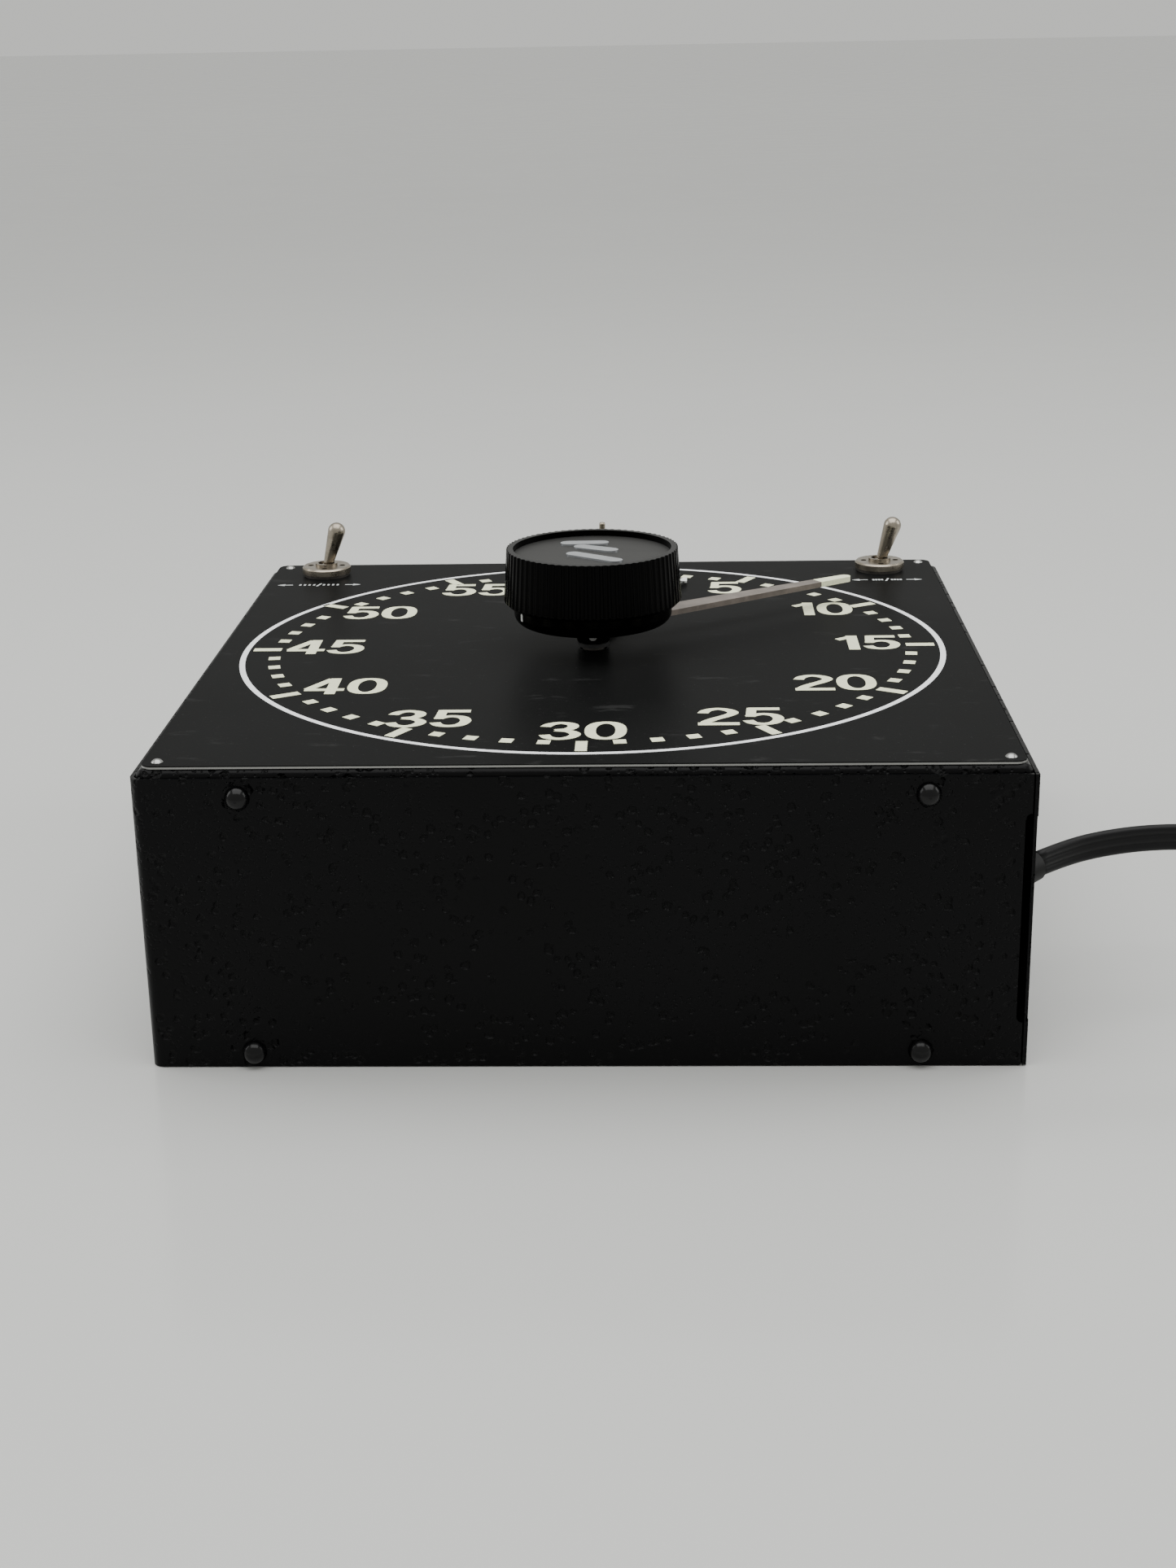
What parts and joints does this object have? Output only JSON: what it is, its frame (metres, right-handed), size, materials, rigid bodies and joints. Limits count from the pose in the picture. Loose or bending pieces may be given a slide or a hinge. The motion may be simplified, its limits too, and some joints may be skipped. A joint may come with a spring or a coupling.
{
  "type": "mains interval timer",
  "caption": "Square-cased mains timer lying on its back: round dial, fluted setting knob, sweep and minute hands, toggle switches, push switch, geared movement, coiled lead.",
  "frame": {"origin": "on the dial axis, at the plane that the back of the case rests on", "axes": "+Z out of the dial along the axis of the hands; +X to the dial's right; +Y from the side with the feet towards the side with the switches"},
  "size_m": [0.4227, 0.225, 0.1098],
  "materials": {
    "case_enamel": "black hammered enamel",
    "dial_enamel": "satin charcoal",
    "nickel": "aged nickel plating",
    "zinc": "zinc-plated steel",
    "brass": "machined brass",
    "hand_enamel": "brown-grey enamel",
    "hand_white": "white enamel",
    "knob_plastic": "black phenolic",
    "knob_disc": "satin charcoal",
    "badge": "satin",
    "phenolic": "brown phenolic",
    "rubber": "black",
    "lead": "black",
    "copper": "enamelled winding"
  },
  "bodies": {
    "case": {"case_wrapper": "case_enamel", "front_frame": "case_enamel", "back_cover": "case_enamel", "cover_screws": "zinc", "corner_posts": "zinc", "foot_pads": "rubber", "dial_plate": "dial_enamel", "dial_screws": "nickel", "movement_front_plate": "brass", "movement_back_plate": "brass", "movement_pillars": "brass", "movement_studs": "zinc", "pillar_screws": "zinc", "centre_bush": "brass", "back_arbor_bush": "brass", "intermediate_bushes": "brass", "motor_case": "zinc", "motor_coil": "copper", "toggle_bodies": "phenolic", "toggle_washers": "zinc", "toggle_nuts": "nickel", "push_switch_body": "phenolic", "push_switch_nut": "nickel", "zero_switch": "phenolic", "zero_switch_blade": "brass", "buzzer_frame": "zinc", "buzzer_coil": "copper", "buzzer_reed": "zinc", "terminal_block": "phenolic", "terminal_screws": "nickel", "outlet_sockets": "phenolic", "cord_guard": "rubber", "lead_run": "lead", "lead_tail": "lead", "lead_coil": "lead", "coil_tie": "rubber", "plug": "rubber", "plug_pins": "brass"},
    "sweep": {"centre_arbor": "zinc", "centre_pinion": "brass", "drive_wheel": "brass", "drive_hub": "brass", "clutch_spring": "zinc", "sweep_hand": "hand_enamel", "setting_knob": "knob_plastic", "knob_set_screw": "zinc", "knob_disc": "knob_disc", "knob_badge": "badge"},
    "minute": {"minute_tube": "brass", "minute_wheel": "brass", "zero_cam": "brass", "minute_hand": "hand_white"},
    "intermediate": {"intermediate_arbor": "zinc", "intermediate_wheel": "brass", "intermediate_pinion": "brass"},
    "motor": {"motor_shaft": "zinc", "motor_pinion": "brass"},
    "left_toggle": {"left_lever": "nickel"},
    "right_toggle": {"right_lever": "nickel"},
    "plunger": {"push_plunger": "nickel"}
  },
  "joints": [
    {"name": "sweep_turn", "type": "hinge", "parent": "case", "child": "sweep", "pos_m": [0, 0, 0.08], "axis": [0, 0, 1], "continuous": true},
    {"name": "minute_turn", "type": "hinge", "parent": "case", "child": "minute", "pos_m": [0, 0, 0.08], "axis": [0, 0, 1], "continuous": true},
    {"name": "intermediate_turn", "type": "hinge", "parent": "case", "child": "intermediate", "pos_m": [-0.034, 0, 0.06], "axis": [0, 0, 1], "continuous": true},
    {"name": "motor_turn", "type": "hinge", "parent": "case", "child": "motor", "pos_m": [0, -0.0288, 0.05], "axis": [0, 0, 1], "continuous": true},
    {"name": "left_toggle_throw", "type": "hinge", "parent": "case", "child": "left_toggle", "pos_m": [-0.091, 0.0946, 0.082], "axis": [0, 1, 0], "range_deg": [-34, 0]},
    {"name": "right_toggle_throw", "type": "hinge", "parent": "case", "child": "right_toggle", "pos_m": [0.091, 0.0946, 0.082], "axis": [0, 1, 0], "range_deg": [-34, 0]},
    {"name": "plunger_press", "type": "slide", "parent": "case", "child": "plunger", "axis": [0, 0, 1], "range_m": [-0.003, 0], "stiffness_N_per_m": 250, "springref_m": 0.002}
  ],
  "couplings": [
    {"joint": "minute_turn", "follows": "sweep_turn", "ratio": 0.016667},
    {"joint": "intermediate_turn", "follows": "sweep_turn", "ratio": -0.13333},
    {"joint": "motor_turn", "follows": "sweep_turn", "ratio": -5}
  ]
}
